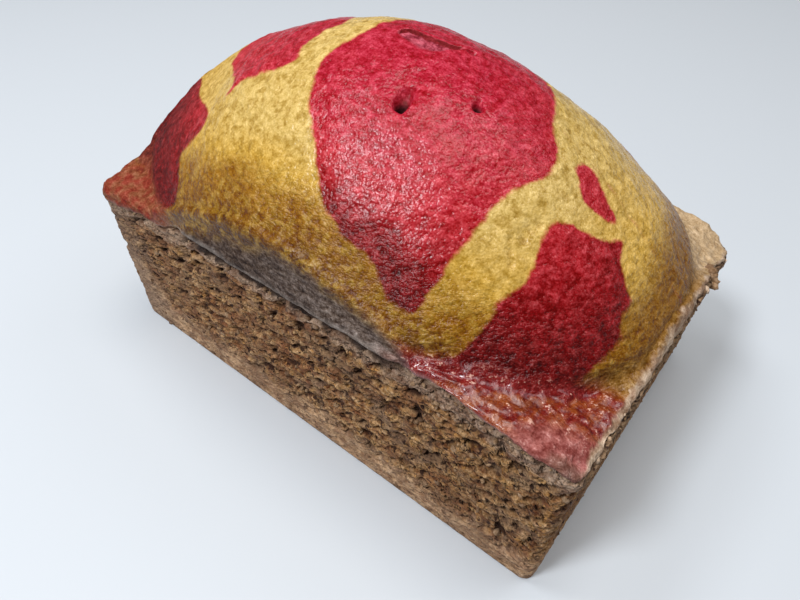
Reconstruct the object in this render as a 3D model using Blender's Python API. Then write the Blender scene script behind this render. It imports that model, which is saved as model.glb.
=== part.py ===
"""A marbled chocolate and banana loaf, baked in a straight-walled tin.

One solid: torn crumb walls, a flat base, a tall dome that runs over the long sides in a
pressed lip, and a low baked ledge left at the corners. Metres, +Z up. The origin is at the
middle of the base; X runs along the loaf and -Y is its near long side.
"""

import bmesh
import bpy
import numpy as np
from mathutils import Vector, noise

# --- Driving dimensions -------------------------------------------------------------------
LENGTH = 0.165
WIDTH = 0.1065
PEAK_HEIGHT = 0.111
TAPER = 0.0008            # how much narrower each wall is at the base
CORNER_RADIUS = 0.0045    # upright corners, in plan
FILLET = 0.0012           # round between the walls and the base

# The dome, whose outline is a quarter superellipse in each corner of the plan.
PEAK_X, PEAK_Y = -0.0036, 0.0
REACH_LEFT, REACH_RIGHT = 0.0935, 0.0794
REACH_NEAR, REACH_FAR = 0.0630, 0.0578
FOOT_HEIGHT = 0.0643
DOME_FALL = 1.87
SIDE_BLEND = 0.011
CORNER_POWER = {(-1, -1): 1.8, (1, -1): 2.05, (1, 1): 2.65, (-1, 1): 1.6}

# The baked ledge that the dome stands on: its height along X, at each side and between them.
NEAR_LEDGE = ((-0.084, 0.0585), (-0.050, 0.0620), (-0.041, 0.0640), (0.0, 0.0650),
              (0.042, 0.0675), (0.060, 0.0650), (0.078, 0.0626), (0.084, 0.0590))
MIDDLE_LEDGE = ((-0.084, 0.0625), (0.084, 0.0600))
FAR_LEDGE = ((-0.084, 0.0600), (0.030, 0.0610), (0.070, 0.0565), (0.084, 0.0510))

# How softly the dome runs into the ledge, where the lip is and towards the ends.
LIP_FOOT, END_FOOT = 0.002, 0.010
LEFT_FOOT_FROM, LEFT_FOOT_TO = -0.038, -0.060
RIGHT_FOOT_FROM, RIGHT_FOOT_TO = 0.034, 0.060
VALLEY_DEPTH = 0.0009
VALLEY_WIDTH = 0.0035

# The crust's edge: how far it comes down over the crumb, and the round of its shoulder.
SKIRT = 0.0024
LEFT_SKIRT = 0.0024       # more again past each of the next two places
LEFT_SKIRTS = ((-0.040, -0.050), (-0.064, -0.082))
SHOULDER = 0.0025
SHOULDER_DROP = 0.0040

# The lip of risen batter that was pressed against the tin, on each long side:
# side, where it starts and ends along X, how far it stands out, depth of the crease under it.
LIPS = (
    (-1, -0.046, 0.040, 0.0020, 0.0018),
    (1, -0.040, 0.044, 0.0012, 0.0012),
)
LIP_FADE = 0.012

# Hollows in the crust: place, radius, depth.
HOLLOWS = (
    (0.0080, -0.0176, 0.0026, 0.0065),     # the tester's hole
    (0.0068, -0.0166, 0.0080, 0.0010),     # the dimple round it
    (0.0226, -0.0078, 0.0013, 0.0014),
)
TEAR_MIDDLE = (0.0015, 0.0014)
TEAR_SIZE = (0.0088, 0.0021)               # half length and half width
TEAR_SLANT = 0.27                          # rise in Y for each step in X
TEAR_DEPTH = 0.0022

# Where the far right upper corner is broken: place, radius, depth.
CHIPS = (
    (0.0825, 0.0532, 0.0080, 0.0012),
    (0.0825, 0.0350, 0.0060, 0.0020),
)

CRUMB_RELIEF = 0.0012
CRUMB_DRAW = 0.5          # under 1 draws the crumb's pores out along the loaf
CRUST_RELIEF = 0.0007
LEDGE_RELIEF = 0.0006

# --- Mesh resolution ----------------------------------------------------------------------
LID_COLUMNS = 56
LID_ROWS = 36
CRUMB_ROWS = 9
HOLLOW_REACH = 0.0055     # edges this near the tester's hole are halved
SOFT_BAND = 0.009         # heights this near the ledge are evened out
SOFT_PASSES = 3

CRUMB_BROWN = (0.105, 0.055, 0.030, 1.0)
CRUST_GOLD = (0.480, 0.260, 0.055, 1.0)


def smoothstep(start, end, value):
    """0 before start, 1 after end, smooth between; the two may be in either order."""
    share = np.clip((value - start) / (end - start), 0.0, 1.0)
    return share * share * (3.0 - 2.0 * share)


def smooth_max(a, b, blend):
    """The greater of two heights, with the corner between them rounded."""
    share = np.clip(0.5 + 0.5 * (a - b) / blend, 0.0, 1.0)
    return b + (a - b) * share + blend * share * (1.0 - share)


def bumps(x, y, z, size, seed):
    """Smooth noise between about -1 and 1, with bumps of the given size."""
    offset = Vector((seed * 3.1, seed * 7.7, seed * 1.3))
    points = np.column_stack([x, y, z]) / size
    return np.array([noise.noise(Vector(point) + offset) for point in points])


def along_x(keys, x):
    """A height that runs straight from one key to the next."""
    places, heights = zip(*keys)
    return np.interp(x, places, heights)


def ledge_height(x, y):
    """Height of the baked ledge, which is also the top edge of the walls."""
    across = 2.0 * y / WIDTH
    near = smoothstep(-0.45, -0.95, across)
    far = smoothstep(0.35, 0.95, across)
    height = near * along_x(NEAR_LEDGE, x) + far * along_x(FAR_LEDGE, x)
    return height + (1.0 - near - far) * along_x(MIDDLE_LEDGE, x)


def dome_height(x, y):
    """Height of the risen dome; outside its outline it drops away steeply."""
    along = x - PEAK_X
    across = y - PEAK_Y
    u = np.where(along < 0, -along / (REACH_LEFT + PEAK_X), along / (REACH_RIGHT - PEAK_X))
    v = np.where(across < 0, -across / (REACH_NEAR + PEAK_Y), across / (REACH_FAR - PEAK_Y))
    right = 1.0 / (1.0 + np.exp(-along / SIDE_BLEND))
    back = 1.0 / (1.0 + np.exp(-across / SIDE_BLEND))
    power = 0.0
    for (side, end), corner_power in CORNER_POWER.items():
        share_x = right if side > 0 else 1.0 - right
        share_y = back if end > 0 else 1.0 - back
        power = power + corner_power * share_x * share_y
    reach = (u ** power + v ** power + 1e-12) ** (1.0 / power)
    rise = np.clip(1.0 - reach ** DOME_FALL, 0.0, None)
    drop = 4.0 * np.clip(reach - 1.0, 0.0, None)
    return FOOT_HEIGHT + (PEAK_HEIGHT - FOOT_HEIGHT) * (rise - drop)


def hollows(x, y):
    """Depth of the holes, dimple and tear in the crust."""
    depth = np.zeros(np.shape(x))
    for at_x, at_y, radius, deep in HOLLOWS:
        distance = np.hypot(x - at_x, y - at_y) / radius
        depth = depth + deep * np.exp(-distance ** 3)
    along = x - TEAR_MIDDLE[0]
    across = y - TEAR_MIDDLE[1] - TEAR_SLANT * along + 6.0 * along ** 2
    distance = (along / TEAR_SIZE[0]) ** 4 + (across / TEAR_SIZE[1]) ** 2
    return depth + TEAR_DEPTH * np.exp(-distance)


def top_height(x, y):
    """Height of the whole crust: ledge, dome, the valley between them and the hollows."""
    ledge = ledge_height(x, y)
    dome = dome_height(x, y)
    to_end = smoothstep(LEFT_FOOT_FROM, LEFT_FOOT_TO, x) + smoothstep(RIGHT_FOOT_FROM, RIGHT_FOOT_TO, x)
    foot = LIP_FOOT + (END_FOOT - LIP_FOOT) * to_end
    valley = VALLEY_DEPTH * np.exp(-((dome - ledge) / VALLEY_WIDTH) ** 2)
    return smooth_max(ledge, dome, foot) - valley - hollows(x, y)


def plan_point(s, t, grow):
    """A point of the square from -1 to 1, set in the rounded outline grown by a distance."""
    half_length = 0.5 * LENGTH + grow
    half_width = 0.5 * WIDTH + grow
    radius = CORNER_RADIUS + grow
    x = s * half_length
    y = t * half_width
    centre_x = np.clip(x, radius - half_length, half_length - radius)
    centre_y = np.clip(y, radius - half_width, half_width - radius)
    distance = np.hypot(x - centre_x, y - centre_y)
    pull = np.where(distance > radius, radius / np.maximum(distance, 1e-9), 1.0)
    return centre_x + (x - centre_x) * pull, centre_y + (y - centre_y) * pull


def lip_at(x, t):
    """How far the lip stands out and how deep its crease is at a place on the rim."""
    proud = np.zeros(np.shape(x))
    crease = np.zeros(np.shape(x))
    for side, start, end, stand, deep in LIPS:
        share = smoothstep(start, start + LIP_FADE, x) * smoothstep(end, end - LIP_FADE, x)
        share = share * (side * t > 0.999)
        proud = proud + stand * share
        crease = crease + deep * share
    return proud, crease


def broken(x, y, height):
    """How far the broken upper corner is set back."""
    rough = smoothstep(0.036, 0.052, height) * (0.8 + 0.3 * bumps(x, y, height, 0.006, 3))
    lost = np.zeros(np.shape(x))
    for at_x, at_y, radius, deep in CHIPS:
        lost = lost + deep * np.exp(-(np.hypot(x - at_x, y - at_y) / radius) ** 2)
    return lost * rough


def wall_rows(s, t):
    """Rows down the wall from the lid to the base: how far out and how high each is."""
    x, y = plan_point(s, t, -SHOULDER)
    top = top_height(x, y)
    skirt = SKIRT + sum(LEFT_SKIRT * smoothstep(*span, x) for span in LEFT_SKIRTS)
    edge = np.minimum(ledge_height(x, y), top) - skirt
    drop = np.minimum(0.6 * (top - edge), SHOULDER_DROP)
    proud, crease = lip_at(x, t)
    lip_base = edge + 0.0004 + 0.5 * proud
    shoulder = top - drop
    rows = [
        (0.0 * x - SHOULDER, top),
        (0.0 * x - 0.29 * SHOULDER, top - 0.29 * drop),
        (0.15 * proud, shoulder),
        (0.80 * proud, 0.5 * (shoulder + lip_base)),
        (proud, lip_base),
        (-crease, edge),
        (0.0 * x, edge - 0.0007 - 0.4 * crease),
    ]
    crumb_top = rows[-1][1]
    for row in range(1, CRUMB_ROWS + 1):
        share = row / CRUMB_ROWS
        height = crumb_top + (FILLET - crumb_top) * share
        rows.append((-TAPER * share, height))
    rows.append((-TAPER - 0.3 * FILLET, 0.0 * x + 0.3 * FILLET))
    rows.append((-TAPER - FILLET, 0.0 * x))
    return rows


FIRST_CRUMB_ROW = 6
WALL_ROWS = FIRST_CRUMB_ROW + CRUMB_ROWS + 2


def block():
    """A plain block: a gridded lid at height 0, walls one unit a row, and one base face."""
    mesh = bmesh.new()
    bmesh.ops.create_grid(mesh, x_segments=LID_COLUMNS, y_segments=LID_ROWS, size=1.0)
    open_edges = [edge for edge in mesh.edges if edge.is_boundary]
    for _ in range(WALL_ROWS):
        ring = bmesh.ops.extrude_edge_only(mesh, edges=open_edges)["geom"]
        corners = [part for part in ring if isinstance(part, bmesh.types.BMVert)]
        bmesh.ops.translate(mesh, verts=corners, vec=(0.0, 0.0, -1.0))
        open_edges = [part for part in ring
                      if isinstance(part, bmesh.types.BMEdge) and part.is_boundary]
    bmesh.ops.contextual_create(mesh, geom=open_edges)
    bmesh.ops.recalc_face_normals(mesh, faces=mesh.faces)
    return mesh


def refine_hollow(mesh):
    """Halve the lid's edges round the tester's hole, so that it is a round hole."""
    at_x, at_y = HOLLOWS[0][:2]
    near = []
    for edge in mesh.edges:
        middle = 0.5 * (edge.verts[0].co + edge.verts[1].co)
        away = np.hypot(middle.x * 0.5 * LENGTH - at_x, middle.y * 0.5 * WIDTH - at_y)
        if middle.z == 0.0 and away < HOLLOW_REACH:
            near.append(edge)
    bmesh.ops.subdivide_edges(mesh, edges=near, cuts=1, use_grid_fill=True)


def shape_loaf(mesh):
    """Move each corner of the plain block to its place on the loaf."""
    mesh.verts.ensure_lookup_table()
    plain = np.array([vertex.co for vertex in mesh.verts])
    s, t = plain[:, 0], plain[:, 1]
    row = np.rint(-plain[:, 2]).astype(int)
    on_rim = np.maximum(np.abs(s), np.abs(t)) > 0.999

    out = np.full(len(plain), -SHOULDER)
    height = np.zeros(len(plain))
    for number, (row_out, row_height) in enumerate(wall_rows(s, t)):
        chosen = on_rim & (row == number)
        out = np.where(chosen, row_out, out)
        height = np.where(chosen, row_height, height)

    x, y = plan_point(s, t, out)
    lid = ~on_rim
    height = np.where(lid, top_height(x, y), height)

    # The crumb walls are torn, and the upper corner at the far right is broken.
    crumb = on_rim & (row >= FIRST_CRUMB_ROW) & (row < WALL_ROWS - 1)
    tear = 0.8 * bumps(CRUMB_DRAW * x, CRUMB_DRAW * y, height, 0.008, 1)
    tear = tear + 0.5 * bumps(CRUMB_DRAW * x, CRUMB_DRAW * y, height, 0.004, 2)
    out = out + np.where(crumb, CRUMB_RELIEF * (tear - 0.35), 0.0)
    x, y = plan_point(s, t, out)
    lost = broken(x, y, height)
    x = x - lost
    y = y - 0.6 * lost

    # The crust is slightly uneven, the ledge more so.
    crust = lid | (row <= FIRST_CRUMB_ROW)
    on_ledge = smoothstep(0.004, -0.001, dome_height(x, y) - ledge_height(x, y))
    swell = CRUST_RELIEF * bumps(x, y, 0.0 * x, 0.016, 4)
    swell = swell + LEDGE_RELIEF * on_ledge * bumps(x, y, 0.0 * x, 0.006, 5)
    height = height + np.where(crust, swell, 0.0)

    for vertex, place in zip(mesh.verts, np.column_stack([x, y, height])):
        vertex.co = place


def soften_foot(mesh):
    """Even out the line where the dome's steep side meets the ledge."""
    foot = []
    for vertex in mesh.verts:
        x, y, z = vertex.co
        on_top = all(face.material_index == 1 for face in vertex.link_faces)
        inside = abs(x) < 0.5 * LENGTH - 0.002 and abs(y) < 0.5 * WIDTH - 0.002
        if on_top and inside and abs(dome_height(x, y) - ledge_height(x, y)) < SOFT_BAND:
            foot.append(vertex)
    for _ in range(SOFT_PASSES):
        bmesh.ops.smooth_vert(mesh, verts=foot, factor=0.5,
                              use_axis_x=True, use_axis_y=True, use_axis_z=True)


def material(name, colour, roughness):
    finish = bpy.data.materials.new(name)
    finish.use_nodes = True
    shader = finish.node_tree.nodes["Principled BSDF"]
    shader.inputs["Base Color"].default_value = colour
    shader.inputs["Roughness"].default_value = roughness
    shader.inputs["Metallic"].default_value = 0.0
    finish.diffuse_color = colour
    return finish


def make_loaf(collection):
    mesh = block()
    refine_hollow(mesh)
    crust_faces = [face for face in mesh.faces if face.calc_center_median().z > -FIRST_CRUMB_ROW]
    for face in crust_faces:
        face.material_index = 1
    shape_loaf(mesh)
    soften_foot(mesh)
    bmesh.ops.triangulate(mesh, faces=mesh.faces)
    data = bpy.data.meshes.new("loaf")
    mesh.to_mesh(data)
    mesh.free()
    data.shade_smooth()
    data.materials.append(material("chocolate crumb", CRUMB_BROWN, 0.85))
    data.materials.append(material("golden crust", CRUST_GOLD, 0.45))
    loaf = bpy.data.objects.new("loaf", data)
    collection.objects.link(loaf)
    return loaf


def main():
    for old in list(bpy.data.objects):
        bpy.data.objects.remove(old, do_unlink=True)
    collection = bpy.data.collections.new("marbled banana loaf")
    bpy.context.scene.collection.children.link(collection)
    make_loaf(collection)


main()
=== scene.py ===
"""The looks of the marbled banana loaf: crust, torn crumb, crumbs that cling to it, floor and light."""
import math

import bmesh
import bpy
import numpy as np
from mathutils import Matrix, Vector, noise


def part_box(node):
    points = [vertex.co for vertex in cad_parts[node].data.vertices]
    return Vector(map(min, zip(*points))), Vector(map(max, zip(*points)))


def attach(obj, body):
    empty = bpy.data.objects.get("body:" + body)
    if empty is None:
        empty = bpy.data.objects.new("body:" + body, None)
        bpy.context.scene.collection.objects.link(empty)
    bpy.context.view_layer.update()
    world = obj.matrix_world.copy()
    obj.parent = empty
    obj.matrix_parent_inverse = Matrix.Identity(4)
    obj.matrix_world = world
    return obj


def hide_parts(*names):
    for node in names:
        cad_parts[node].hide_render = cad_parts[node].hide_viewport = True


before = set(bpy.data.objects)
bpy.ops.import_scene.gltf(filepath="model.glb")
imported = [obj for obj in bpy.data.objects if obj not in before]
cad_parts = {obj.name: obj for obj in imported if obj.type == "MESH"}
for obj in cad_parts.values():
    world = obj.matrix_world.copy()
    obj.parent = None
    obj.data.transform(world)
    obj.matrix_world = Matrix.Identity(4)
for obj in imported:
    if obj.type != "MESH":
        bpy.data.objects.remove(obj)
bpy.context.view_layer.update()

LOW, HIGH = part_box("loaf")
MM = 0.001

# --- The loaf's form; the same as the solid's ----------------------------------------------
LENGTH = HIGH.x - LOW.x
NEAR_LIP, FAR_LIP = 2.0 * MM, 1.2 * MM
WIDTH = HIGH.y - LOW.y - NEAR_LIP - FAR_LIP
PEAK_HEIGHT = HIGH.z
TAPER = 0.8 * MM
CORNER_RADIUS = 4.5 * MM
FILLET = 1.2 * MM

# The dome, whose outline is a quarter superellipse in each corner of the plan.
PEAK_X, PEAK_Y = -3.6 * MM, 0.0
REACH_LEFT, REACH_RIGHT = 93.5 * MM, 79.4 * MM
REACH_NEAR, REACH_FAR = 63 * MM, 57.8 * MM
FOOT_HEIGHT = 64.3 * MM
DOME_FALL = 1.87
SIDE_BLEND = 11 * MM
CORNER_POWER = {(-1, -1): 1.8, (1, -1): 2.05, (1, 1): 2.65, (-1, 1): 1.6}

# The baked ledge that the dome stands on: its height along X in millimetres, at each side and
# between them.
NEAR_LEDGE = ((-84, 58.5), (-50, 62), (-41, 64), (0, 65), (42, 67.5), (60, 65), (78, 62.6), (84, 59))
MIDDLE_LEDGE = ((-84, 62.5), (84, 60))
FAR_LEDGE = ((-84, 60), (30, 61), (70, 56.5), (84, 51))

# How softly the dome runs into the ledge, where the lip is and towards the ends.
LIP_FOOT, END_FOOT = 2 * MM, 10 * MM
LEFT_FOOT = (-38 * MM, -60 * MM)
RIGHT_FOOT = (34 * MM, 60 * MM)
VALLEY_DEPTH = 0.9 * MM
VALLEY_WIDTH = 3.5 * MM

# The crust's edge: how far it comes down over the crumb, and the round of its shoulder.
SKIRT = 2.4 * MM
LEFT_SKIRT = 2.4 * MM        # more again past each of the next two places
LEFT_SKIRTS = ((-40 * MM, -50 * MM), (-64 * MM, -82 * MM))
SHOULDER = 2.5 * MM
SHOULDER_DROP = 4 * MM

# Side, start and end along X, how far the lip stands out, depth of the crease under it.
LIPS = (
    (-1, -46 * MM, 40 * MM, NEAR_LIP, 1.8 * MM),
    (1, -40 * MM, 44 * MM, FAR_LIP, 1.2 * MM),
)
LIP_FADE = 12 * MM

# Where the far right upper corner is broken: place, radius, depth.
CHIPS = (
    (82.5 * MM, 53.2 * MM, 8 * MM, 1.2 * MM),
    (82.5 * MM, 35.0 * MM, 6 * MM, 2.0 * MM),
)

# Holes in the crust.
HOLE_AT = (8.1 * MM, -16.6 * MM)
HOLE_WAY = (-0.27, 0.96)     # the way its funnel runs in plan
TEAR_MIDDLE = (1.5 * MM, 1.4 * MM)

# --- How finely the pieces are made -------------------------------------------------------
COARSE = 1
LID_COLUMNS, LID_ROWS = 290 // COARSE, 186 // COARSE
SHOULDER_ROWS = 6
RIM_ROWS = 16
CRUMB_COLUMNS, CRUMB_ACROSS = 220 // COARSE, 142 // COARSE
CRUMB_ROWS = 118 // COARSE
MOST_CORNERS = 200000        # more than any piece has


# --- Numbers ------------------------------------------------------------------------------
def smoothstep(start, end, value):
    """0 before start, 1 after end, smooth between; the two may be in either order."""
    share = np.clip((value - start) / (end - start), 0.0, 1.0)
    return share * share * (3.0 - 2.0 * share)


def step_mm(start, end, value):
    """The same, with start and end in millimetres."""
    return smoothstep(start * MM, end * MM, value)


def smooth_max(a, b, blend):
    share = np.clip(0.5 + 0.5 * (a - b) / blend, 0.0, 1.0)
    return b + (a - b) * share + blend * share * (1.0 - share)


def bumps(x, y, z, size, seed):
    """Smooth noise between about -1 and 1, with bumps of the given size in millimetres."""
    offset = Vector((seed * 3.1, seed * 7.7, seed * 1.3))
    points = np.column_stack([x, y, z]) / (size * MM)
    return np.array([noise.noise(Vector(point) + offset) for point in points])


def cells(x, y, z, size, seed):
    """Distance to the nearest cell centre over the size in millimetres, and a draw for that cell."""
    offset = Vector((seed * 5.3, seed * 2.9, seed * 8.1))
    distance = np.empty(len(x))
    draw = np.empty(len(x))
    for index, point in enumerate(np.column_stack([x, y, z]) / (size * MM)):
        near, centres = noise.voronoi(Vector(point) + offset)
        distance[index] = near[0]
        draw[index] = noise.cell(centres[0] * 7.3)
    return distance, draw


# --- The form -----------------------------------------------------------------------------
def along_x(keys, x):
    """A height that runs straight from one key to the next; the keys are in millimetres."""
    places, heights = zip(*keys)
    return MM * np.interp(x / MM, places, heights)


def ledge_height(x, y):
    across = 2.0 * y / WIDTH
    near = smoothstep(-0.45, -0.95, across)
    far = smoothstep(0.35, 0.95, across)
    height = near * along_x(NEAR_LEDGE, x) + far * along_x(FAR_LEDGE, x)
    return height + (1.0 - near - far) * along_x(MIDDLE_LEDGE, x)


def dome_height(x, y):
    along = x - PEAK_X
    across = y - PEAK_Y
    u = np.where(along < 0, -along / (REACH_LEFT + PEAK_X), along / (REACH_RIGHT - PEAK_X))
    v = np.where(across < 0, -across / (REACH_NEAR + PEAK_Y), across / (REACH_FAR - PEAK_Y))
    right = 1.0 / (1.0 + np.exp(-along / SIDE_BLEND))
    back = 1.0 / (1.0 + np.exp(-across / SIDE_BLEND))
    power = 0.0
    for (side, end), corner_power in CORNER_POWER.items():
        share_x = right if side > 0 else 1.0 - right
        share_y = back if end > 0 else 1.0 - back
        power = power + corner_power * share_x * share_y
    reach = (u ** power + v ** power + 1e-12) ** (1.0 / power)
    rise = np.clip(1.0 - reach ** DOME_FALL, 0.0, None)
    drop = 4.0 * np.clip(reach - 1.0, 0.0, None)
    return FOOT_HEIGHT + (PEAK_HEIGHT - FOOT_HEIGHT) * (rise - drop)


def top_height(x, y):
    ledge = ledge_height(x, y)
    dome = dome_height(x, y)
    to_end = smoothstep(*LEFT_FOOT, x) + smoothstep(*RIGHT_FOOT, x)
    foot = LIP_FOOT + (END_FOOT - LIP_FOOT) * to_end
    valley = VALLEY_DEPTH * np.exp(-((dome - ledge) / VALLEY_WIDTH) ** 2)
    return smooth_max(ledge, dome, foot) - valley


def plan_point(s, t, grow):
    """A point of the square from -1 to 1, set in the rounded outline grown by a distance."""
    half_length = 0.5 * LENGTH + grow
    half_width = 0.5 * WIDTH + grow
    radius = CORNER_RADIUS + grow
    x = s * half_length
    y = t * half_width
    centre_x = np.clip(x, radius - half_length, half_length - radius)
    centre_y = np.clip(y, radius - half_width, half_width - radius)
    distance = np.hypot(x - centre_x, y - centre_y)
    pull = np.where(distance > radius, radius / np.maximum(distance, 1e-9), 1.0)
    return centre_x + (x - centre_x) * pull, centre_y + (y - centre_y) * pull


def lip_at(x, t):
    """Share of the lip, how far it stands out and how deep its crease is at a place on the rim."""
    shown = np.zeros(np.shape(x))
    proud = np.zeros(np.shape(x))
    crease = np.zeros(np.shape(x))
    for side, start, end, stand, deep in LIPS:
        share = smoothstep(start, start + LIP_FADE, x) * smoothstep(end, end - LIP_FADE, x)
        share = share * (side * t > 0.8)
        shown = shown + share
        proud = proud + stand * share
        crease = crease + deep * share
    return shown, proud, crease


def rim_lines(s, t):
    """Round the rim: the lip's share, stand and crease, and the heights of its top and edges."""
    x, y = plan_point(s, t, -SHOULDER)
    shown, proud, crease = lip_at(x, t)
    top = top_height(x, y)
    skirt = SKIRT + sum(LEFT_SKIRT * smoothstep(*span, x) for span in LEFT_SKIRTS)
    edge = np.minimum(ledge_height(x, y), top) - skirt
    ragged = 0.5 * MM * bumps(x, y, 0 * x, 5, 21) + 0.35 * MM * bumps(x, y, 0 * x, 1.8, 22)
    edge = edge + ragged
    lip_base = edge + 0.4 * MM + 0.5 * proud
    return shown, proud, crease, top, edge, lip_base


def broken(x, y, height):
    """How far the broken upper corner is set back."""
    rough = 0.8 + 0.3 * bumps(x, y, height, 6, 3) + 0.25 * bumps(x, y, height, 2.2, 23)
    lost = np.zeros(np.shape(x))
    for at_x, at_y, radius, deep in CHIPS:
        lost = lost + deep * np.exp(-(np.hypot(x - at_x, y - at_y) / radius) ** 2)
    return lost * rough * step_mm(36, 52, height)


def break_off(x, y, height):
    lost = broken(x, y, height)
    return x - lost, y - 0.6 * lost


# --- Pieces -------------------------------------------------------------------------------
def extrude_rows(mesh, edges, count):
    """Extrudes the open edges down, one unit a row, and returns the last row's edges."""
    for _ in range(count):
        ring = bmesh.ops.extrude_edge_only(mesh, edges=edges)["geom"]
        corners = [part for part in ring if isinstance(part, bmesh.types.BMVert)]
        bmesh.ops.translate(mesh, verts=corners, vec=(0.0, 0.0, -1.0))
        edges = [part for part in ring
                 if isinstance(part, bmesh.types.BMEdge) and part.is_boundary]
    return edges


def close_below(mesh, rows):
    """Hangs rows from the open rim, closes them with one face and turns all faces outwards."""
    edges = [edge for edge in mesh.edges if edge.is_boundary]
    edges = extrude_rows(mesh, edges, rows)
    bmesh.ops.contextual_create(mesh, geom=edges)
    bmesh.ops.recalc_face_normals(mesh, faces=mesh.faces)


def refine_near(mesh, at, reach):
    """Halves the lid's edges round a place, so that a small hole there is round."""
    near = []
    for edge in mesh.edges:
        middle = 0.5 * (edge.verts[0].co + edge.verts[1].co)
        away = math.hypot(middle.x * 0.5 * LENGTH - at[0], middle.y * 0.5 * WIDTH - at[1])
        if middle.z == 0.0 and away < reach and edge.calc_length() > 0.006:
            near.append(edge)
    bmesh.ops.subdivide_edges(mesh, edges=near, cuts=1, use_grid_fill=True)


def plain_crust():
    """A gridded lid with a hanging rim, closed by one face underneath."""
    mesh = bmesh.new()
    bmesh.ops.create_grid(mesh, x_segments=LID_COLUMNS, y_segments=LID_ROWS, size=1.0)
    close_below(mesh, RIM_ROWS + 2)
    refine_near(mesh, HOLE_AT, 5 * MM)
    refine_near(mesh, TEAR_MIDDLE, 11 * MM)
    refine_near(mesh, (MM * BURSTS[0][0], MM * BURSTS[0][1]), 3 * MM)
    return mesh


def plain_crumb():
    """A block with one face on top, walls in many rows and one face underneath."""
    mesh = bmesh.new()
    bmesh.ops.create_grid(mesh, x_segments=1, y_segments=1, size=1.0)
    for along_x_axis, cuts in ((True, CRUMB_COLUMNS - 1), (False, CRUMB_ACROSS - 1)):
        sides = []
        for edge in mesh.edges:
            run = edge.verts[0].co - edge.verts[1].co
            if (abs(run.x) > 1.9) == along_x_axis and run.length > 1.9:
                sides.append(edge)
        bmesh.ops.subdivide_edges(mesh, edges=sides, cuts=cuts)
    bmesh.ops.dissolve_faces(mesh, faces=mesh.faces[:])
    close_below(mesh, CRUMB_ROWS + 4)
    return mesh


def corner_number(face):
    """A number that no other face of a piece has, from its three first corners."""
    first, second, third = sorted(corner.index for corner in face.verts)[:3]
    return (first * MOST_CORNERS + second) * MOST_CORNERS + third


def to_object(mesh, name):
    """Makes an object, its faces in a fixed order, because extruding leaves a chance one."""
    mesh.verts.index_update()
    mesh.faces.sort(key=corner_number)
    data = bpy.data.meshes.new(name)
    mesh.to_mesh(data)
    mesh.free()
    data.shade_smooth()
    piece = bpy.data.objects.new(name, data)
    bpy.context.scene.collection.objects.link(piece)
    return piece


def corners_of(piece):
    flat = np.empty(3 * len(piece.data.vertices), np.float32)
    piece.data.vertices.foreach_get("co", flat)
    return flat.reshape(-1, 3).astype(float)


def set_corners(piece, places):
    piece.data.vertices.foreach_set("co", places.astype(np.float32).ravel())
    piece.data.update()


def normals_of(piece):
    flat = np.empty(3 * len(piece.data.vertices), np.float32)
    piece.data.vertex_normals.foreach_get("vector", flat)
    return flat.reshape(-1, 3).astype(float)


def set_value(piece, name, values):
    layer = piece.data.attributes.new(name, "FLOAT", "POINT")
    layer.data.foreach_set("value", np.asarray(values, np.float32))


def ride_as_loaf(piece):
    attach(piece, "root")
    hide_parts("loaf")


# --- The marbling -------------------------------------------------------------------------
# Red swirls as closed outlines in plan, in millimetres, through which a smooth curve runs.
SWIRLS = {
    "crown": [(-14, -3), (-17, -11), (-17, -17), (-15.5, -22), (-12, -27), (-5, -34), (0, -39), (6, -43),
              (11.5, -44.5), (18.5, -45), (22, -46), (26.5, -47.3), (30, -48), (33, -47.6), (35.5, -45.5),
              (36.5, -40), (36.5, -35), (38, -27), (39, -20.5), (41.5, -13.5), (43, -6), (42, -0.5),
              (37, 5.5), (33, 13), (28, 20), (18, 26), (2, 28), (-9, 20), (-11, 8)],
    "upper left": [(-61, -6), (-57, -13), (-46.5, -22), (-45.5, -26), (-42, -23.5), (-36, -21.5),
                   (-26.5, -18), (-28, -12), (-27.5, -5), (-25, 1), (-29, 12), (-37, 25), (-46, 31),
                   (-55, 27), (-57, 17), (-62, 9)],
    "left": [(-74, -12), (-68, -18), (-62, -23), (-55, -26.5), (-49, -30.5), (-48, -34), (-49.5, -36.5),
             (-52, -39.5), (-50.5, -42.5), (-48, -46), (-45.5, -49.5), (-49, -53), (-56, -54),
             (-62, -48), (-71, -42), (-84, -36), (-92, -26), (-92, -12), (-82, -8)],
    "dash": [(45.5, 2), (46.5, 5.5), (49.5, 6), (52, 5), (56, 3.5), (59.5, 2), (58.5, -0.5), (56, -2),
             (52, -3), (48.5, -1)],
    "right": [(49, -16.5), (51, -12.5), (56, -8.5), (59.5, -5.5), (62.5, -0.5), (64.2, -1.5), (65.3, -4),
              (68.3, -7), (71.3, -9), (71.7, -14), (73.7, -18), (72.7, -23.5), (71.7, -28.3), (70, -33),
              (66, -38), (60, -42.5), (52, -46.5), (44, -49.5), (44.5, -48), (46.3, -46), (48.5, -40.6),
              (49, -34), (51, -28.3), (50.6, -22)],
    "far right": [(14, 46), (22, 41), (32, 42), (42, 38), (52, 37.5), (57, 40), (52, 45), (42, 47),
                  (34, 51), (24, 52), (16, 50)],
    "far left": [(-2, 34), (5, 38), (2, 44), (-8, 48), (-20, 51), (-34, 50), (-46, 44), (-50, 36), (-44, 33),
                 (-34, 39), (-22, 40), (-12, 35)],
    "left end": [(-68, 4), (-64, 10), (-61, 20), (-56, 31), (-60, 37), (-67, 33), (-72, 24), (-79, 16),
                 (-82, 9), (-76, 5)],
}
UNROLL_HEIGHT = 30 * MM      # the dome is unrolled about this height
UNROLL_RADIUS = 65 * MM


def unrolled(x, y, z):
    """Two coordinates that run over the dome at nearly its true lengths."""
    rise = z - UNROLL_HEIGHT
    return UNROLL_RADIUS * np.arctan2(x, rise), UNROLL_RADIUS * np.arctan2(y, rise)


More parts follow.
